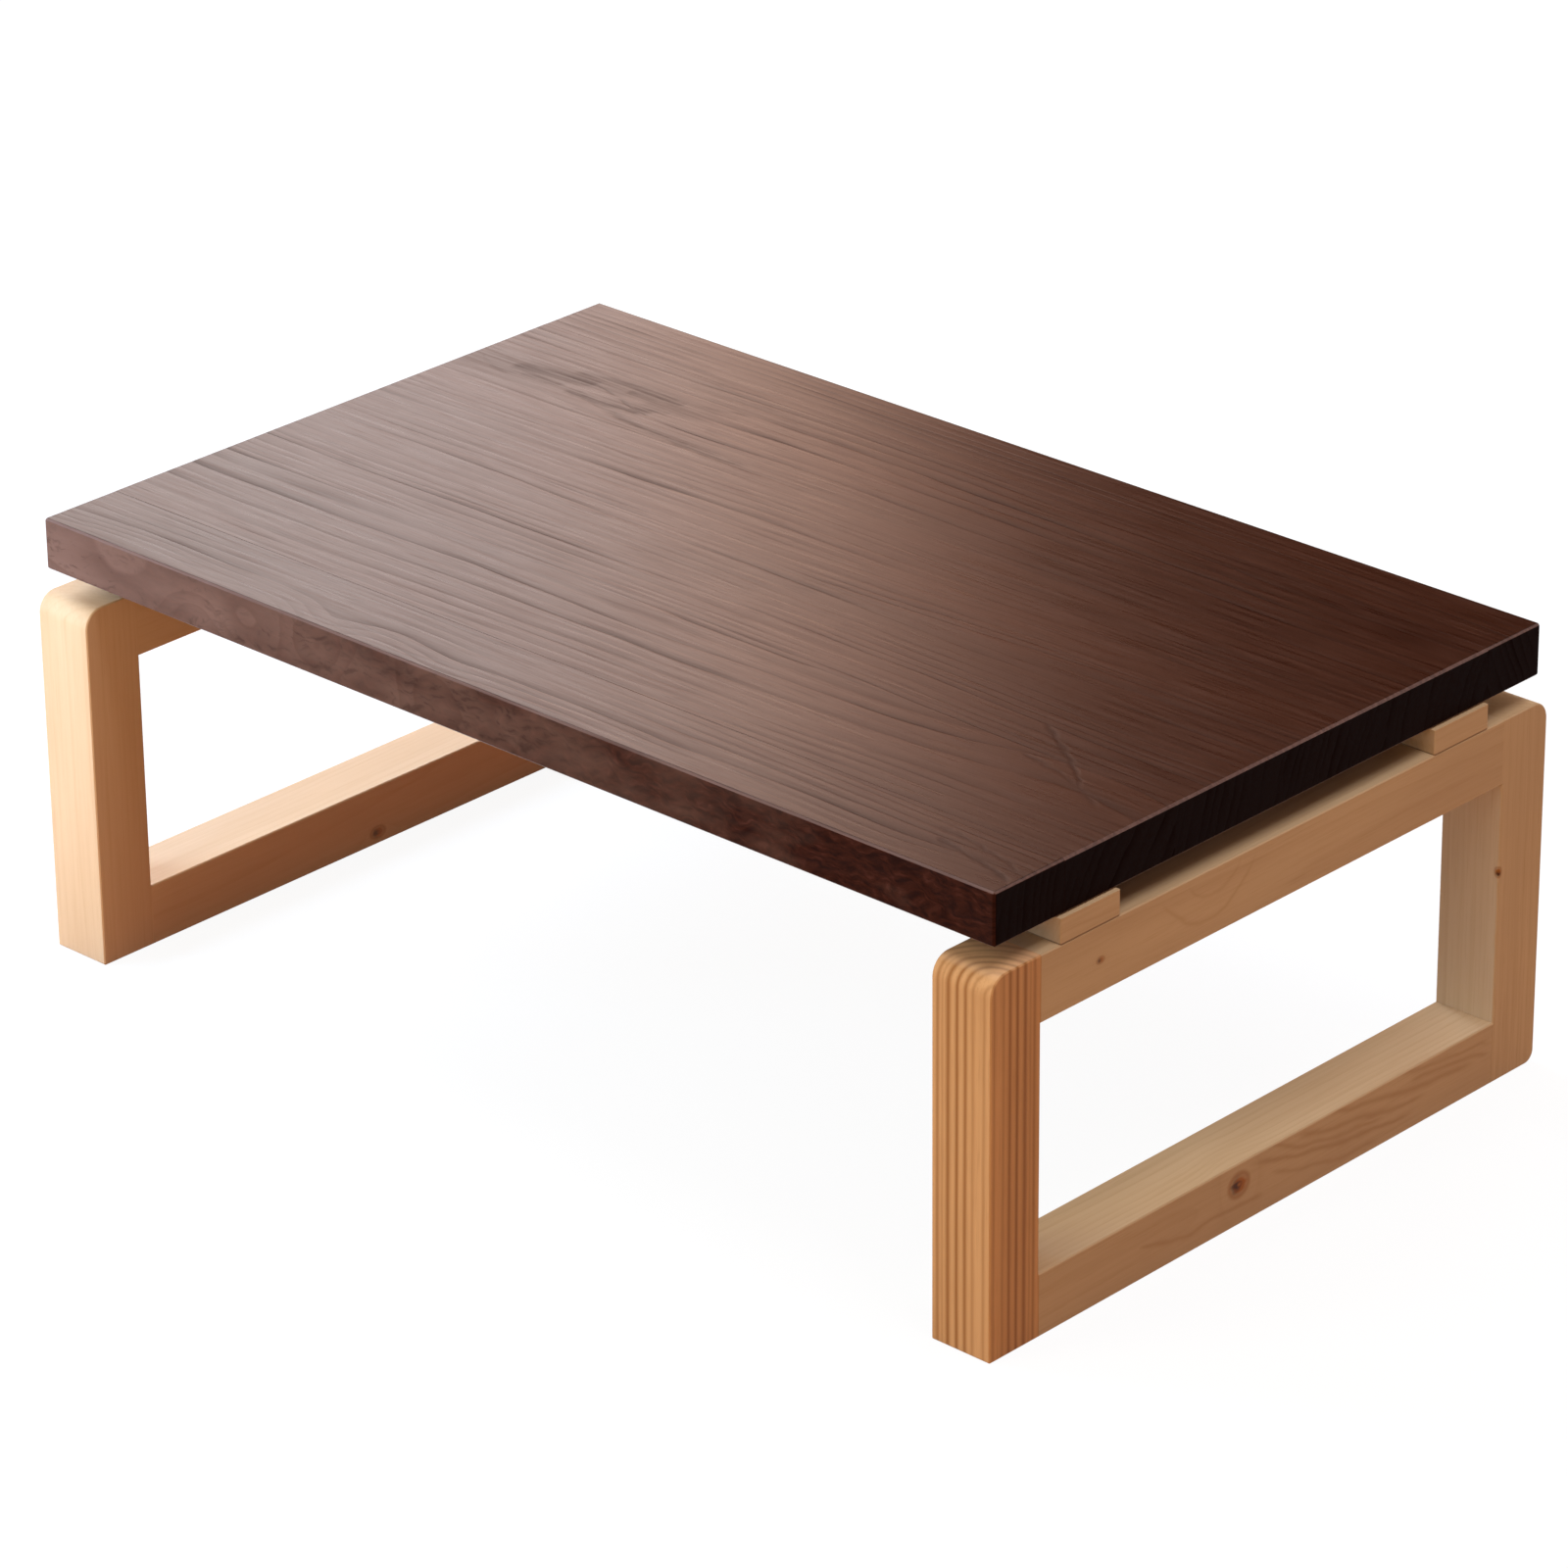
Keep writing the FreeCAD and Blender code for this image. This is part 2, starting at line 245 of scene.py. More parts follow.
def grain_mark(net, along, across, wobble, mark):
    """One long dark mark of the grain, from one place to another, bowed sideways in its middle."""
    (start_along, start_across), (end_along, end_across), bow, width, strength = mark
    part = net.remap(along, start_along, end_along)
    hump = net.times(net.times(part, net.math("SUBTRACT", 1.0, part)), 4.0)
    middle = net.add(start_across, net.times(part, end_across - start_across), net.times(hump, bow))
    off = net.math("DIVIDE", net.add(net.math("SUBTRACT", across, middle), wobble), width)
    fade = net.remap(hump, 0.0, 0.45, 0.0, strength, smooth=True)
    return net.times(net.hill(off), fade)


def grain_marks(net, along, across, wobble, marks):
    """The strongest of several marks at each place."""
    line = 0.0
    for mark in marks:
        line = net.math("MAXIMUM", line, grain_mark(net, along, across, wobble, mark))
    return line


def fibres(net, along, first, second, seed):
    """Coarse and fine fibres of the wood."""
    coarse = smudge(net, along, first, second, seed, (14.0, 420.0, 420.0), 2.0)
    fine = smudge(net, along, first, second, seed + 9.0, (34.0, 1500.0, 1500.0), 2.0)
    return coarse, fine


def end_grain(net, axis):
    """1 on faces that cut the grain across, and 0 on the others."""
    normal = net.node("ShaderNodeTexCoord").outputs["Normal"]
    x, y, z = net.split(normal)
    facing = net.math("ABSOLUTE", {"X": x, "Y": y, "Z": z}[axis])
    return net.remap(facing, 0.72, 0.95, 0.0, 1.0, smooth=True)


def blotches(net, along, first, second):
    """Blotchy figure of the top's side faces."""
    warp = net.noise(net.join(net.times(along, 45.0), first, net.times(second, 60.0)), 1.0, 2.0)
    spot = net.join(net.add(net.times(along, 110.0), net.times(warp, 3.0)), first,
                    net.add(net.times(second, 300.0), net.times(warp, 6.0)))
    return net.noise(spot, 1.0, 3.0, 0.55)


def stained_top(name, grain, seed):
    """Brushed pine, stained dark brown, under a satin lacquer."""
    net = material_net(name)
    line, along, first, second = ring_lines(net, grain, seed)
    coarse, fine = fibres(net, along, first, second, seed + 20.0)
    strong = smudge(net, along, first, second, seed + 80.0, (7.0, 26.0, 26.0), 2.0)
    line = net.times(line, net.remap(strong, 0.36, 0.66, 0.25, 1.0))
    if "marks" in grain:
        wobble = net.remap(smudge(net, along, first, second, seed + 60.0, (70.0, 160.0, 160.0), 2.0),
                           0.3, 0.7, -0.0016, 0.0016)
        marks = grain_marks(net, along, first, wobble, grain["marks"])
        line = net.math("MAXIMUM", line, net.times(marks, net.remap(coarse, 0.32, 0.62, 0.45, 1.0)))
        clear = grain_marks(net, along, first, wobble, grain.get("clear", ()))
        line = net.times(line, net.math("SUBTRACT", 1.0, clear))
    patch = smudge(net, along, first, second, seed + 40.0, (2.5, 14.0, 14.0), 2.0)
    ends = end_grain(net, "X")
    base = net.mix(net.remap(patch, 0.3, 0.7), tint(*grain["deep"]), tint(*grain["light"]))
    base = net.mix(net.remap(coarse, 0.35, 0.75, 0.0, 0.55), base, tint(*grain["streak"]))
    base = net.mix(net.times(line, 0.85), base, tint(*grain["line"]))
    base = net.mix(net.remap(fine, 0.56, 0.74, 0.0, 0.6), base, tint(*grain["line"]))
    top = net.math("ABSOLUTE", net.split(net.node("ShaderNodeTexCoord").outputs["Normal"])[2])
    side = net.remap(top, 0.85, 0.55, 0.0, 1.0, smooth=True)
    edge = net.times(side, net.math("SUBTRACT", 1.0, ends))
    base = net.mix(net.times(edge, 0.6), base, tint(*SIDE_BROWN))
    blot = blotches(net, along, first, second)
    base = net.mix(net.times(net.remap(blot, 0.44, 0.64), net.times(edge, 0.85)), base, tint(*BLOT_DARK))
    base = net.mix(net.times(net.remap(blot, 0.42, 0.28), net.times(edge, 0.5)), base, tint(*BLOT_LIGHT))
    # The chamfers are painted lighter: partly worn stain, partly a painted highlight along the edges.
    bevel = net.remap(net.math("ABSOLUTE", net.add(top, -0.707)), 0.16, 0.06, 0.0, 1.0, smooth=True)
    base = net.mix(net.times(bevel, net.remap(coarse, 0.3, 0.7, 0.35, 0.8)), base, tint(*ARRIS_WEAR_AND_HIGHLIGHT))
    # Board 1's front edge is painted paler towards its left end: painted light, standing for the lamps that
    # light that end.
    if "faded" in grain:
        cloud_place = net.join(net.times(along, 14.0), first, net.times(second, 40.0))
        clouds = net.remap(net.noise(cloud_place, 1.0, 3.0), 0.3, 0.7, -0.16, 0.16)
        painted_light_share = net.remap(net.add(along, clouds), *grain["faded"], 1.0, 0.0)
        figure = net.times(net.remap(blot, 0.50, 0.70, 0.0, 0.6), net.remap(strong, 0.46, 0.60, 0.15, 1.0))
        pale = net.mix(net.math("MAXIMUM", net.times(line, 0.8), figure), tint(*PAINTED_LIGHT_EDGE),
                       tint(*PAINTED_LIGHT_GRAIN))
        base = net.mix(net.times(net.times(painted_light_share, edge), 0.85), base, pale)
    # End-grain faces go near black: the end grain's darker stain, and painted shade.
    base = net.mix(net.times(ends, 0.92), base, tint(*END_STAIN_AND_SHADE))
    dull = net.math("MAXIMUM", net.times(line, 0.78), net.remap(fine, 0.54, 0.74, 0.0, 0.30))
    groove = net.add(net.times(line, -1.0), net.times(coarse, 0.45), net.times(fine, 0.15))
    normal = net.bump(groove, 0.40, BOARD_RELIEF)
    rough = net.add(net.remap(coarse, 0.3, 0.7, 0.25, 0.36), net.times(dull, 0.2), net.times(side, 0.3))
    gloss = net.times(net.add(0.5, net.times(side, -0.46), net.times(ends, -0.02)),
                      net.math("SUBTRACT", 1.0, dull))
    return net.surface(Base_Color=base, Roughness=rough, Normal=normal, Specular_IOR_Level=gloss)


def paint_knot(net, base, along, first, second, knot, ragged):
    """Adds a knot to a colour: its rim, and a heart that is dark on one side and amber on the other."""
    core = knot_core(net, along, first, second, knot, ragged)
    far = knot_distance(net, along, first, second, knot)
    swirl = net.math("SINE", net.add(net.times(far, 9.0), net.times(ragged, 5.0)))
    beside = net.math("DIVIDE", net.add(along, -knot["spot"][0]), knot["radius"])
    heart = net.mix(net.remap(net.add(beside, net.times(swirl, 0.35)), -0.55, 0.30),
                    tint(*KNOT_DARK), tint(*KNOT_AMBER))
    rim = net.remap(net.math("ABSOLUTE", net.add(far, -1.0)), 0.40, 0.0, 0.0, 0.60, smooth=True)
    base = net.mix(net.times(rim, knot.get("dark", 1.0)), base, tint(*KNOT_RIM))
    return net.mix(net.times(core, knot.get("dark", 1.0)), base, heart)


def pine(name, grain, seed):
    """Sanded pine under a clear satin finish."""
    net = material_net(name)
    line, along, first, second = ring_lines(net, grain, seed)
    coarse, fine = fibres(net, along, first, second, seed + 20.0)
    patch = smudge(net, along, first, second, seed + 40.0, (4.0, 22.0, 22.0), 2.0)
    ends = end_grain(net, grain["axis"])
    base = net.mix(net.remap(patch, 0.3, 0.7), tint(*grain["deep"]), tint(*grain["light"]))
    base = net.mix(net.times(line, grain.get("contrast", 0.7)), base, tint(*grain["line"]))
    base = net.mix(net.remap(coarse, 0.45, 0.75, 0.0, 0.16), base, tint(*grain["line"]))
    base = net.mix(net.remap(fine, 0.58, 0.72, 0.0, 0.22), base, tint(*grain["line"]))
    # End grain mixes towards its own tint. The right front post's round top is tinted pale cream: painted
    # light falling on the top.
    end_tint, end_part = grain.get("end", (grain["line"], 0.18))
    base = net.mix(net.times(ends, end_part), base, tint(*end_tint))
    if "marks" in grain:
        wobble = net.remap(smudge(net, along, first, second, seed + 60.0, (30.0, 70.0, 70.0), 2.0),
                           0.3, 0.7, -0.0016, 0.0016)
        marks = net.times(grain_marks(net, along, second, wobble, grain["marks"]), end_grain(net, "X"))
        base = net.mix(marks, base, tint(*grain["line"]))
    for knot in grain.get("knots", ()):
        base = paint_knot(net, base, along, first, second, knot, coarse)
    if "seam" in grain:
        height = net.split(net.place())[2]
        base = net.mix(net.remap(height, grain["seam"] + 0.0002, grain["seam"] + 0.0011, 0.75, 0.0), base,
                       tint(*SEAM_SHADOW))
    relief = net.add(net.times(line, 0.5), net.times(coarse, 0.3), net.times(fine, 0.25))
    normal = net.bump(relief, 0.25, PINE_RELIEF)
    rough = net.add(net.remap(patch, 0.3, 0.7, 0.40, 0.50), net.times(line, -0.06), net.times(ends, 0.12))
    return net.surface(Base_Color=base, Roughness=rough, Normal=normal, Specular_IOR_Level=0.10)


def metal(name, colour, dull, rough_low, rough_high, brushed):
    """Plated or blued steel: cloudy plating, a rolling direction and fine scratches."""
    net = material_net(name)
    x, y, z = net.split(net.place())
    cloud = net.noise(net.place(), 130.0, 4.0, 0.6)
    stretch = {"X": (25.0, 2600.0, 2600.0), "Y": (2600.0, 25.0, 2600.0), "Z": (2600.0, 2600.0, 25.0)}[brushed]
    spot = net.join(*[net.times(value, factor) for value, factor in zip((x, y, z), stretch)])
    brush = net.noise(spot, 1.0, 2.0)
    spangle = net.node("ShaderNodeTexVoronoi", {"feature": "F1"}, {"Vector": net.place(), "Scale": 260.0})
    grey = net.node("ShaderNodeSeparateColor", inputs={0: spangle.outputs["Color"]}).outputs[0]
    base = net.mix(net.remap(cloud, 0.3, 0.7), tint(*colour), tint(*dull))
    base = net.mix(net.times(grey, 0.22), base, tint(*dull))
    rough = net.add(net.remap(cloud, 0.3, 0.7, rough_low, rough_high), net.times(brush, 0.08))
    normal = net.bump(net.add(net.times(brush, 0.6), net.times(cloud, 0.8)), 0.35, STEEL_RELIEF)
    return net.surface(Base_Color=base, Metallic=1.0, Roughness=rough, Normal=normal)


def dress(node, material):
    """Gives a carried-over node its material."""
    for place in nodes[node].material_slots:
        place.material = material


def ease(node, width):
    """Rounds a carried-over node's sharp edges a little."""
    piece = nodes[node]
    weld = piece.modifiers.new("weld", "WELD")
    weld.merge_threshold = SAME_POINT
    bevel = piece.modifiers.new("ease", "BEVEL")
    bevel.width = width
    bevel.segments = 2
    bevel.limit_method = "ANGLE"
    bevel.angle_limit = math.radians(25)
    bevel.use_clamp_overlap = True
    bevel.harden_normals = False
    smooth = piece.modifiers.new("normals", "WEIGHTED_NORMAL")
    smooth.keep_sharp = True


# The faces that knots and seams lie at.
front_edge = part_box("top_board_1")[0].y
outer_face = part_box("right_frame_top_rail")[1].x
left_inner_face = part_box("left_frame_bottom_rail")[1].x
rail_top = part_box("right_frame_top_rail")[1].z

# The stain of every board: its colours, and how sharp the rings are.
deep_brown = {"sharp": 1.7, "faintest": 0.25,
              "deep": (0.024, 0.0052, 0.0018), "light": (0.041, 0.0105, 0.0040),
              "streak": (0.066, 0.0200, 0.0095), "line": (0.011, 0.0030, 0.0014)}


def edge_knot(along, height, radius, push, long=1.6, reach=2.2):
    """A swirl in the front edge, which dies out a little way in from it."""
    return {"spot": (along, height), "cross": "second", "radius": radius, "long": long, "reach": reach,
            "push": push, "face": front_edge, "deep": 0.006}


# The top's boards: where each board's pith lies, how far apart its rings are, and its own figure.
boards = {
    "top_board_1": {"pith": (-0.020, 0.235), "spacing": 0.0088, "lean": (0.010, 0.0), "sway": 0.0060,
                    # Painted light on the front edge, from its left end to where it fades out.
                    "faded": (-0.42, 0.26),
                    "marks": [((0.325, -0.219), (0.400, -0.235), 0.0030, 0.0024, 0.65),
                              ((0.310, -0.206), (0.400, -0.223), 0.0040, 0.0022, 0.50)],
                    "knots": [{"spot": (0.395, -0.238), "cross": "first", "radius": 0.012, "long": 2.4,
                               "reach": 2.4, "push": 0.018},
                              edge_knot(-0.330, 0.288, 0.010, 0.012, 2.6),
                              edge_knot(-0.262, 0.272, 0.009, -0.014),
                              edge_knot(-0.215, 0.285, 0.007, 0.012),
                              edge_knot(-0.150, 0.290, 0.010, -0.016, 1.3),
                              edge_knot(-0.105, 0.272, 0.008, 0.012),
                              edge_knot(-0.050, 0.284, 0.009, -0.010, 1.4),
                              edge_knot(0.060, 0.276, 0.010, 0.010, 2.4),
                              edge_knot(0.230, 0.286, 0.008, 0.008, 3.0)]},
    "top_board_2": {"pith": (0.010, 0.215), "spacing": 0.0092, "lean": (-0.012, 0.0), "sway": 0.0065,
                    "marks": [((0.270, -0.060), (0.350, -0.117), 0.0040, 0.0030, 0.60),
                              ((0.285, -0.100), (0.372, -0.128), 0.0060, 0.0026, 0.50)],
                    "knots": [{"spot": (0.335, -0.100), "cross": "first", "radius": 0.015, "long": 2.6,
                               "reach": 2.2, "push": 0.020}]},
    "top_board_3": {"pith": (0.130, 0.250), "spacing": 0.0080, "lean": (0.008, 0.0), "sway": 0.0060,
                    "marks": [((0.270, -0.060), (0.350, -0.117), 0.0040, 0.0030, 0.60)]},
    "top_board_4": {"pith": (0.210, 0.205), "spacing": 0.0076, "lean": (-0.014, 0.008), "sway": 0.0060},
    "top_board_5": {"pith": (0.270, 0.235), "spacing": 0.0084, "lean": (0.006, 0.012), "sway": 0.006,
                    "knots": [{"spot": (-0.325, 0.135), "cross": "first", "radius": 0.010, "long": 3.4,
                               "reach": 2.2, "push": 0.012},
                              {"spot": (-0.215, 0.130), "cross": "first", "radius": 0.010, "long": 3.6,
                               "reach": 2.4, "push": -0.008}],
                    "marks": [((-0.420, 0.124), (-0.180, 0.150), 0.0, 0.0220, 0.36),
                              ((-0.368, 0.130), (-0.290, 0.143), 0.0, 0.0095, 0.74),
                              ((-0.354, 0.1245), (-0.288, 0.126), 0.0, 0.0054, 0.56),
                              ((-0.328, 0.148), (-0.226, 0.155), 0.0040, 0.0060, 0.62),
                              ((-0.244, 0.153), (-0.180, 0.170), 0.0, 0.0032, 0.34),
                              ((-0.310, 0.123), (-0.234, 0.129), -0.0050, 0.0046, 0.68),
                              ((-0.276, 0.147), (-0.224, 0.154), 0.0, 0.0068, 0.70),
                              ((-0.254, 0.126), (-0.222, 0.138), 0.0, 0.0050, 0.62),
                              ((-0.270, 0.117), (-0.120, 0.105), -0.0050, 0.0038, 0.60),
                              ((-0.234, 0.119), (-0.180, 0.163), 0.0070, 0.0026, 0.22),
                              ((-0.395, 0.134), (-0.343, 0.126), -0.0100, 0.0048, 0.46)],
                    "clear": [((-0.316, 0.1265), (-0.246, 0.1400), 0.0, 0.0040, 0.90),
                              ((-0.238, 0.124), (-0.184, 0.136), 0.0020, 0.0085, 0.75)]},
    "top_board_6": {"pith": (0.070, 0.225), "spacing": 0.0070, "lean": (0.012, 0.0), "sway": 0.0055},
}
for number, (node, grain) in enumerate(sorted(boards.items())):
    grain = dict(deep_brown, axis="X", **grain)
    dress(node, stained_top(node + "_stain", grain, seed=3.7 * number))
    ease(node, BOARD_EASE)

# The frames' pine: the right front post is redder than the other pieces, and the left frame is paler.
post_wood = {"deep": (0.63, 0.328, 0.132), "light": (0.73, 0.400, 0.178), "line": (0.32, 0.120, 0.030)}
rail_wood = {"deep": (0.585, 0.400, 0.220), "light": (0.665, 0.475, 0.274), "line": (0.43, 0.23, 0.10),
             "contrast": 0.35}
pale_wood = {"deep": (0.70, 0.432, 0.232), "light": (0.78, 0.512, 0.296), "line": (0.58, 0.30, 0.14),
             "contrast": 0.3}
frames = {
    "right_frame_front_post": dict(post_wood, axis="Z", pith=(0.404, -0.260), contrast=0.9, sway=0.0010,
                                   # Its round top, end grain, is tinted pale cream: painted light falling on
                                   # the top.
                                   end=((0.86, 0.57, 0.37), 0.24),
                                   rings=((0.0070, 0.0011, 0.45), (0.0148, 0.0012, 0.45),
                                          (0.0204, 0.0015, 0.90), (0.0268, 0.0014, 1.00),
                                          (0.0336, 0.0018, 0.95), (0.0380, 0.0010, 0.40),
                                          (0.0416, 0.0015, 0.70), (0.0480, 0.0016, 0.80),
                                          (0.0545, 0.0015, 0.90), (0.0605, 0.0015, 0.60))),
    "right_frame_rear_post": dict(rail_wood, axis="Z", pith=(0.330, 0.310), spacing=0.0042, lean=(0.01, 0.0),
                                  knots=[{"spot": (0.1455, 0.2135), "cross": "second", "radius": 0.0022,
                                          "reach": 2.4, "push": 0.002, "face": outer_face, "deep": 0.001}]),
    "right_frame_top_rail": dict(rail_wood, axis="Y", pith=(0.350, 0.215), spacing=0.0060, lean=(0.0, 0.05),
                                 marks=[((-0.110, 0.246), (-0.020, 0.246), -0.0290, 0.0018, 0.30),
                                        ((-0.085, 0.246), (-0.035, 0.246), -0.0150, 0.0016, 0.25)],
                                 knots=[{"spot": (-0.1615, 0.226), "cross": "second", "radius": 0.0022,
                                         "reach": 3.0, "push": 0.004, "dark": 0.8, "face": outer_face,
                                         "deep": 0.004}]),
    "right_frame_bottom_rail": dict(rail_wood, axis="Y", pith=(0.345, 0.028), spacing=0.0056,
                                    lean=(0.0, -0.04),
                                    knots=[{"spot": (-0.032, 0.0275), "cross": "second", "radius": 0.0076,
                                            "long": 1.15, "reach": 2.6, "push": 0.010, "face": outer_face,
                                            "deep": 0.006}],
                                    marks=[((-0.026, 0.039), (0.140, 0.010), -0.0050, 0.0019, 0.55),
                                           ((-0.006, 0.043), (0.110, 0.019), -0.0060, 0.0016, 0.45),
                                           ((0.018, 0.040), (0.150, 0.019), -0.0035, 0.0020, 0.50),
                                           ((0.045, 0.044), (0.200, 0.020), -0.0030, 0.0022, 0.50),
                                           ((-0.005, 0.024), (0.105, 0.004), -0.0040, 0.0018, 0.40),
                                           ((0.120, 0.040), (0.213, 0.030), 0.0010, 0.0015, 0.40),
                                           ((0.130, 0.034), (0.213, 0.022), 0.0010, 0.0018, 0.45),
                                           ((-0.125, 0.022), (-0.070, 0.012), -0.0015, 0.0016, 0.45),
                                           ((-0.090, 0.012), (-0.005, 0.011), 0.0022, 0.0018, 0.45)]),
    "left_frame_front_post": dict(pale_wood, axis="Z", pith=(-0.320, -0.330), spacing=0.0050),
    "left_frame_rear_post": dict(pale_wood, axis="Z", pith=(-0.450, 0.300), spacing=0.0046),
    "left_frame_top_rail": dict(pale_wood, axis="Y", pith=(-0.300, 0.210), spacing=0.0055, lean=(0.0, 0.03)),
    "left_frame_bottom_rail": dict(pale_wood, axis="Y", pith=(-0.440, 0.050), spacing=0.0050,
                                   lean=(0.02, 0.0),
                                   knots=[{"spot": (-0.012, 0.0085), "cross": "second", "radius": 0.0042,
                                           "reach": 2.2, "push": 0.006, "dark": 0.8, "face": left_inner_face,
                                           "deep": 0.010}]),
    "right_front_spacer_block": dict(rail_wood, axis="Y", seam=rail_top, pith=(0.300, 0.300), spacing=0.0045),
    "right_rear_spacer_block": dict(rail_wood, axis="Y", seam=rail_top, pith=(0.300, 0.230), spacing=0.0048),
    "left_front_spacer_block": dict(rail_wood, axis="Y", seam=rail_top, pith=(-0.300, 0.310), spacing=0.0045),
    "left_rear_spacer_block": dict(rail_wood, axis="Y", seam=rail_top, pith=(-0.300, 0.230), spacing=0.0048),
}
for number, (node, grain) in enumerate(sorted(frames.items())):
    dress(node, pine(node + "_pine", grain, seed=5.3 * number + 1.0))
    ease(node, FRAME_EASE)

zinc = metal("zinc_plate", (0.66, 0.66, 0.65), (0.50, 0.50, 0.51), 0.28, 0.42, "Y")
pin_zinc = metal("pin_zinc", (0.62, 0.61, 0.60), (0.46, 0.46, 0.47), 0.22, 0.34, "Y")
blued = metal("blued_spring", (0.30, 0.32, 0.37), (0.20, 0.21, 0.25), 0.26, 0.38, "X")
screw_zinc = metal("screw_zinc", (0.64, 0.60, 0.50), (0.48, 0.44, 0.36), 0.24, 0.36, "Z")
for side in sides:
    for end in ("front", "rear"):
        bracket = side + "_" + end + "_bracket_"
        for piece, material in (("base_plate", zinc), ("leg_plate", zinc), ("pivot_pin", pin_zinc),
                                ("spring_leaf", blued)):
            dress(bracket + piece, material)
            ease(bracket + piece, PIN_EASE if piece == "pivot_pin" else PLATE_EASE)


def islands(node):
    """The separate solids of a node, each as a list of points."""
    mesh = nodes[node].data
    work = bmesh.new()
    work.from_mesh(mesh)
    bmesh.ops.remove_doubles(work, verts=work.verts, dist=SAME_POINT)
    left = set(work.verts)
    found = []
    while left:
        edge_of = [left.pop()]
        points = []
        while edge_of:
            vert = edge_of.pop()
            points.append(vert.co.copy())
            for edge in vert.link_edges:
                other = edge.other_vert(vert)
                if other in left:
                    left.remove(other)
                    edge_of.append(other)
        found.append(points)
    work.free()
    return sorted(found, key=lambda points: tuple(round(v, 5) for v in sum(points, Vector()) / len(points)))


def lathe(work, outline, steps, matrix):
    """Turns an outline of (radius, height) points round Z."""
    rings = []
    for radius, height in outline:
        if radius == 0:
            rings.append([work.verts.new(matrix @ Vector((0, 0, height)))])
        else:
            ring = []
            for step in range(steps):
                turn = math.tau * step / steps
                spot = Vector((radius * math.cos(turn), radius * math.sin(turn), height))
                ring.append(work.verts.new(matrix @ spot))
            rings.append(ring)
    for low, high in zip(rings, rings[1:]):
        for step in range(steps):
            after = (step + 1) % steps
            if len(low) == 1:
                work.faces.new((low[0], high[step], high[after]))
            elif len(high) == 1:
                work.faces.new((low[step], low[after], high[0]))
            else:
                work.faces.new((low[step], low[after], high[after], high[step]))


def made_of(work, name, material):
    """Makes an object from a work mesh."""
    mesh = bpy.data.meshes.new(name)
    bmesh.ops.recalc_face_normals(work, faces=work.faces)
    work.to_mesh(mesh)
    work.free()
    mesh.materials.append(material)
    piece = bpy.data.objects.new(name, mesh)
    bpy.context.scene.collection.objects.link(piece)
    return piece


def screw_heads(name, node, body, outward, material, first_turn):
    """Cross-recessed screws that stand for a node's plain ones. Outward points out of each head."""
    outward = Vector(outward)
    turn = outward.to_track_quat("Z", "Y").to_matrix().to_4x4()
    work = bmesh.new()
    for number, points in enumerate(islands(node)):
        heights = [point.dot(outward) for point in points]
        top, foot = max(heights), min(heights)
        middle = sum(points, Vector()) / len(points)
        head = middle + outward * (top - middle.dot(outward))
        head_points = [point - head for point in points if point.dot(outward) > top - HEAD_SKIN]
        radius = max(point.length for point in head_points)
        shank = radius / 2
        length = top - foot
        face_radius = radius - 2 * HEAD_EASE
        matrix = Matrix.Translation(head) @ turn @ Matrix.Rotation(first_turn + number * 1.9, 4, "Z")
        lathe(work, [(0, -length), (shank * 0.4, -length + SCREW_TIP), (shank * 0.94, -length + SCREW_POINT),
                     (shank * 0.94, -radius * 0.55), (radius - HEAD_EASE, -HEAD_EASE), (face_radius, 0)],
              SCREW_STEPS, matrix)
        recessed_top(work, face_radius, matrix)
    piece = made_of(work, name, material)
    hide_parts(node)
    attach(piece, body)


def recessed_top(work, radius, matrix):
    """The head's flat face with a cross-shaped recess sunk in its middle."""
    half_width, half_length, depth = radius * 0.16, radius * 0.60, radius * 0.42
    corner = [(half_length, -half_width), (half_length, half_width), (half_width, half_width)]
    rim = []
    for quarter in range(4):
        angle = quarter * math.pi / 2
        for x, y in corner:
            rim.append((x * math.cos(angle) - y * math.sin(angle), x * math.sin(angle) + y * math.cos(angle)))
    upper = [work.verts.new(matrix @ Vector((x, y, 0))) for x, y in rim]
    lower = [work.verts.new(matrix @ Vector((x * 0.55, y * 0.8, -depth))) for x, y in rim]
    count = len(rim)
    for step in range(count):
        after = (step + 1) % count
        work.faces.new((upper[step], upper[after], lower[after], lower[step]))
    work.faces.new(lower)
    edge = []
    for step in range(SCREW_STEPS):
        turn = math.tau * step / SCREW_STEPS
        edge.append(work.verts.new(matrix @ Vector((radius * math.cos(turn), radius * math.sin(turn), 0))))
    loops = [work.edges.new((edge[step], edge[(step + 1) % SCREW_STEPS])) for step in range(SCREW_STEPS)]
    loops += [work.edges.get((upper[step], upper[(step + 1) % count])) for step in range(count)]
    bmesh.ops.triangle_fill(work, edges=loops, use_beauty=True)


def rivet_heads(name, node, body, material):
    """Rivets with a low domed head that stand for a node's plain ones."""
    work = bmesh.new()
    for points in islands(node):
        middle = sum(points, Vector()) / len(points)
        low = min(point.z for point in points)
        high = max(point.z for point in points)
        radius = max((point - middle).xy.length for point in points)
        outline = [(0, 0)]
        for step in range(1, 7):
            angle = step * math.pi / 12
            outline.append((radius * math.sin(angle), DOME_RISE * (1 - math.cos(angle))))
        outline += [(radius, high - low - HEAD_EASE), (0, high - low - HEAD_EASE)]
        lathe(work, outline, RIVET_STEPS, Matrix.Translation(Vector((middle.x, middle.y, low))))
    for face in work.faces:
        face.smooth = True
    piece = made_of(work, name, material)
    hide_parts(node)
    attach(piece, body)


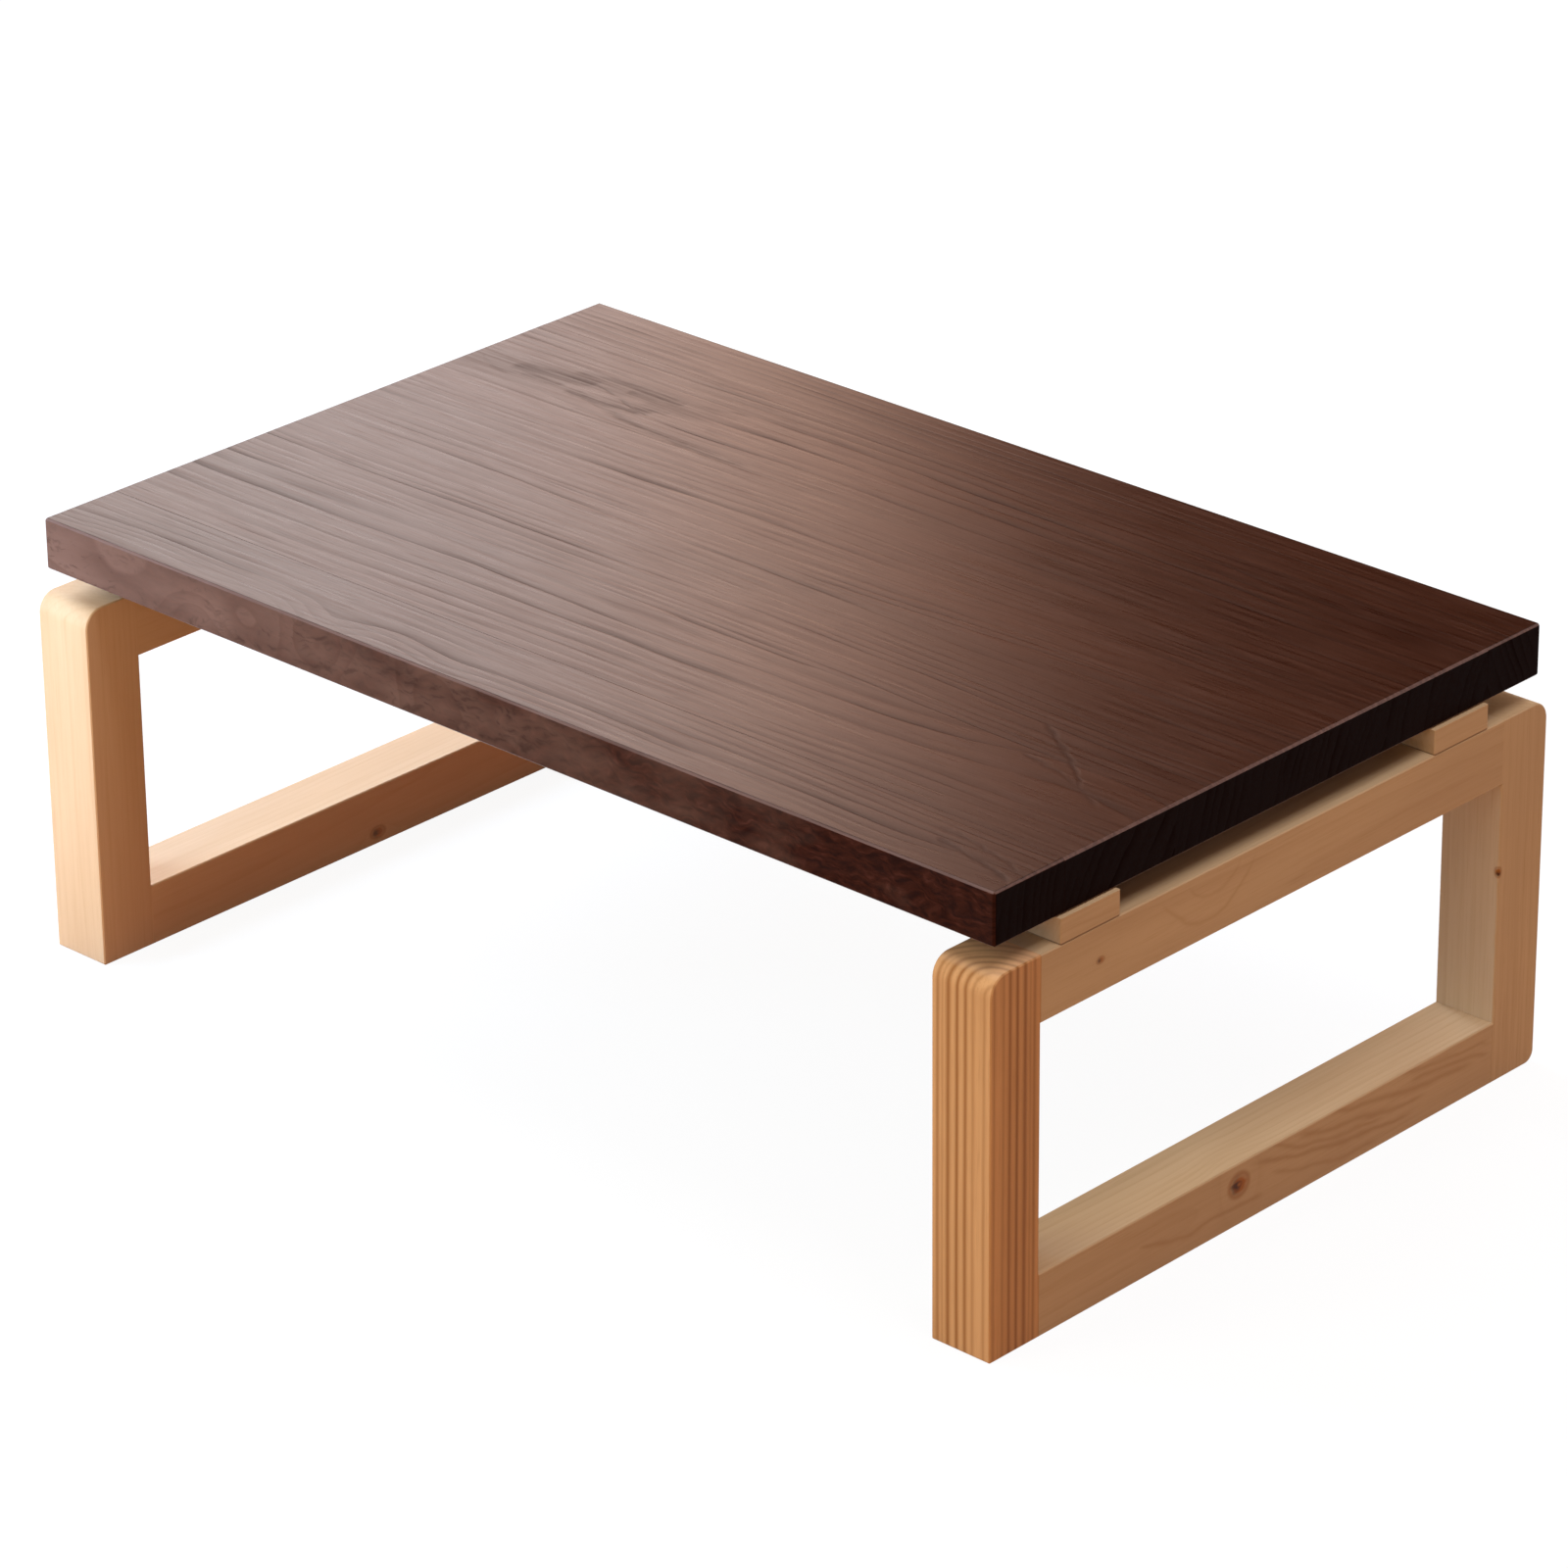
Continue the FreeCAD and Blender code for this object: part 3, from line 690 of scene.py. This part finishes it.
for number, (side, sign) in enumerate(sides.items()):
    screw_heads(side + "_base_plate_crosshead_screws", side + "_base_plate_screws", "tabletop", (0, 0, -1),
                screw_zinc, 0.3 + number)
    screw_heads(side + "_leg_plate_crosshead_screws", side + "_leg_plate_screws", side + "_leg_frame",
                (-sign, 0, 0), screw_zinc, 0.7 + number)
    screw_heads(side + "_block_crosshead_screws", side + "_block_screws", side + "_leg_frame", (0, 0, 1),
                screw_zinc, 1.1 + number)
    rivet_heads(side + "_domed_leaf_rivets", side + "_leaf_rivets", "tabletop", pin_zinc)


def seen_directly(net):
    """1 for the camera, for gloss and through clear pieces, and 0 for the light on the table."""
    paths = net.node("ShaderNodeLightPath").outputs
    return net.math("MAXIMUM", net.math("MAXIMUM", paths["Is Camera Ray"], paths["Is Glossy Ray"]),
                    paths["Is Transmission Ray"])


# Floor: white to the camera and in gloss, with the table's shadow, and a warm pale floor to the table.
# From below it is clear, so that the table's underside can be looked at.
net = material_net("pale_floor")
seen = seen_directly(net)
east, north, _ = net.split(net.node("ShaderNodeNewGeometry").outputs["Position"])
under = net.times(net.remap(net.math("ABSOLUTE", net.add(east, 0.03)), 0.30, 0.42, 1.0, 0.0, smooth=True),
                  net.remap(net.math("ABSOLUTE", north), 0.20, 0.36, 1.0, 0.0, smooth=True))
bounce = net.mix(under, tint(0.54, 0.280, 0.105), tint(0.31, 0.052, 0.002))
plain = net.node("ShaderNodeBsdfDiffuse", inputs={"Color": bounce})
shaded = net.node("ShaderNodeBsdfDiffuse", inputs={"Color": tint(0.11, 0.109, 0.108)})
glow = net.node("ShaderNodeEmission", inputs={"Color": tint(1.0, 1.0, 1.0), "Strength": 0.915})
lit = net.node("ShaderNodeAddShader", inputs={0: shaded.outputs[0], 1: glow.outputs[0]})
choice = net.node("ShaderNodeMixShader", inputs={0: seen, 1: plain.outputs[0], 2: lit.outputs[0]})
below = net.node("ShaderNodeNewGeometry").outputs["Backfacing"]
clear = net.node("ShaderNodeBsdfTransparent")
one_sided = net.node("ShaderNodeMixShader", inputs={0: below, 1: choice.outputs[0], 2: clear.outputs[0]})
net.node("ShaderNodeOutputMaterial", inputs={"Surface": one_sided.outputs[0]})
bpy.ops.mesh.primitive_plane_add(size=60, location=(0, 0, FLOOR_LIFT))
floor = bpy.context.object
floor.name = "floor"
floor.data.materials.append(net.owner)

# World: white to the camera and in gloss, and a soft warm room that is dimmer at the back and the right.
world = bpy.data.worlds.new("room")
bpy.context.scene.world = world
net = Net(world)
east, north, _ = net.split(net.node("ShaderNodeTexCoord").outputs["Generated"])
toward = net.add(net.times(east, -0.55), net.times(north, -0.83))
level = net.remap(toward, -0.9, 0.9, 0.0, 1.0, smooth=True)
room = net.mix(level, tint(0.15, 0.036, 0.007), tint(0.72, 0.63, 0.54))
seen = seen_directly(net)
inside = net.node("ShaderNodeBackground", inputs={"Color": room})
white = net.node("ShaderNodeBackground", inputs={"Color": tint(1.0, 1.0, 1.0)})
chosen = net.node("ShaderNodeMixShader", inputs={0: seen, 1: inside.outputs[0], 2: white.outputs[0]})
net.node("ShaderNodeOutputWorld", inputs={"Surface": chosen.outputs[0]})


def soft_light(name, spot, aim, size, radiance, colour, fade=None):
    """A soft box of a given brightness. A fade changes it along its width. Gloss mirrors only a faded one."""
    lamp = bpy.data.lights.new(name, "AREA")
    lamp.shape = "RECTANGLE"
    lamp.size, lamp.size_y = size
    lamp.energy = radiance * math.pi * size[0] * size[1]
    lamp.color = colour
    if fade:
        net = Net(lamp)
        across_lamp = net.split(net.node("ShaderNodeNewGeometry").outputs["Parametric"])[0]
        ramp = net.node("ShaderNodeValToRGB", inputs={0: across_lamp})
        ramp.color_ramp.interpolation = "EASE"
        for spot_on_ramp, shade in fade:
            stop = ramp.color_ramp.elements.new(spot_on_ramp)
            stop.color = tint(*shade)
        for stop in (ramp.color_ramp.elements[-1], ramp.color_ramp.elements[0]):
            if stop.position in (0.0, 1.0):
                ramp.color_ramp.elements.remove(stop)
        shine = net.node("ShaderNodeEmission", inputs={"Color": ramp.outputs[0]})
        net.node("ShaderNodeOutputLight", inputs={"Surface": shine.outputs[0]})
    lamp_object = bpy.data.objects.new(name, lamp)
    bpy.context.scene.collection.objects.link(lamp_object)
    spot, aim = Vector(spot), Vector(aim)
    lamp_object.location = spot
    lamp_object.rotation_euler = (aim - spot).to_track_quat("-Z", "Y").to_euler()
    lamp_object.visible_camera = False
    lamp_object.visible_glossy = fade is not None


# The camera, fitted to the photograph's straight edges. Its focal length is given in the picture's pixels.
FOCAL_PIXELS = 7079.44
PICTURE_PIXELS = 1600
SENSOR_WIDTH = 36.0
place = Vector((2.70105, -2.86161, 2.01393))
yaw, pitch, roll = math.radians(43.31), math.radians(25.31), math.radians(-0.56)
ahead = Vector((-math.sin(yaw) * math.cos(pitch), math.cos(yaw) * math.cos(pitch), -math.sin(pitch)))
right = ahead.cross(Vector((0, 0, 1))).normalized()
above = right.cross(ahead)
across = right * math.cos(roll) + above * math.sin(roll)
upward = above * math.cos(roll) - right * math.sin(roll)
lens = bpy.data.cameras.new("view")
lens.sensor_width = SENSOR_WIDTH
lens.lens = FOCAL_PIXELS / PICTURE_PIXELS * SENSOR_WIDTH
lens.clip_end = 100
view = bpy.data.objects.new("view", lens)
view.matrix_world = Matrix.Translation(place) @ Matrix((across, upward, -ahead)).transposed().to_4x4()
bpy.context.scene.collection.objects.link(view)
bpy.context.scene.camera = view

# Lights: a broad soft box behind, which the top mirrors, and six smaller ones round the table.
flat_right = Vector((math.cos(yaw), math.sin(yaw), 0))
flat_ahead = Vector((-math.sin(yaw), math.cos(yaw), 0))
behind = flat_ahead * 2.05 - flat_right * 0.715 + Vector((0, 0, 1.25))
soft_light("window", behind, behind - flat_ahead, (2.25, 1.56), 3.6, (1.0, 1.0, 1.0),
           ((0.03, (0.012, 0.004, 0.002)), (0.10, (0.115, 0.040, 0.019)), (0.18, (0.82, 0.53, 0.40)),
            (0.30, (0.86, 0.73, 0.70)), (0.42, (0.87, 0.77, 0.74)), (0.62, (0.68, 0.57, 0.525)),
            (0.80, (0.51, 0.43, 0.395)), (0.99, (0.44, 0.375, 0.350))))
soft_light("key", (-1.00, -0.90, 0.40), (-0.36, -0.20, 0.12), (0.5, 0.5), 15.0, (0.46, 0.84, 1.36))
soft_light("left", (-1.50, 0.30, 1.35), (-0.3, 0.0, 0.05), (1.0, 0.9), 9.0, (0.80, 1.16, 1.70))
soft_light("glow", (-0.85, -0.80, 0.012), (-0.85, -0.80, 1.0), (0.60, 0.50), 4.0, (1.0, 0.76, 0.72))
soft_light("front", (-0.20, -1.30, 1.00), (0.38, -0.25, 0.20), (0.6, 0.6), 4.9, (0.96, 1.0, 0.80))
soft_light("above", (1.1, -0.1, 2.6), (0.38, 0.0, 0.05), (1.2, 1.2), 6.6, (0.88, 0.90, 0.98))
soft_light("back", (-0.5, 2.4, 0.9), (0.0, 0.0, 0.15), (1.2, 1.0), 4.0, (1.0, 0.90, 0.78))

# A dim card behind the window, which only gloss shows, so that the top mirrors a room and not the white.
net = material_net("dim_card")
dim = net.node("ShaderNodeEmission", inputs={"Color": tint(0.022, 0.006, 0.0025), "Strength": 1.0})
net.node("ShaderNodeOutputMaterial", inputs={"Surface": dim.outputs[0]})
bpy.ops.mesh.primitive_plane_add(size=1, location=(0, 0, 0))
card = bpy.context.object
card.name = "dim_card"
card.data.materials.append(net.owner)
card.scale = (6.0, 5.0, 1.0)
card.location = flat_ahead * 2.20 - flat_right * 0.30 + Vector((0, 0, 2.5))
card.rotation_euler = (-flat_ahead).to_track_quat("Z", "Y").to_euler()
card.visible_camera = card.visible_diffuse = card.visible_shadow = card.visible_transmission = False

bpy.context.scene.view_settings.view_transform = "Standard"
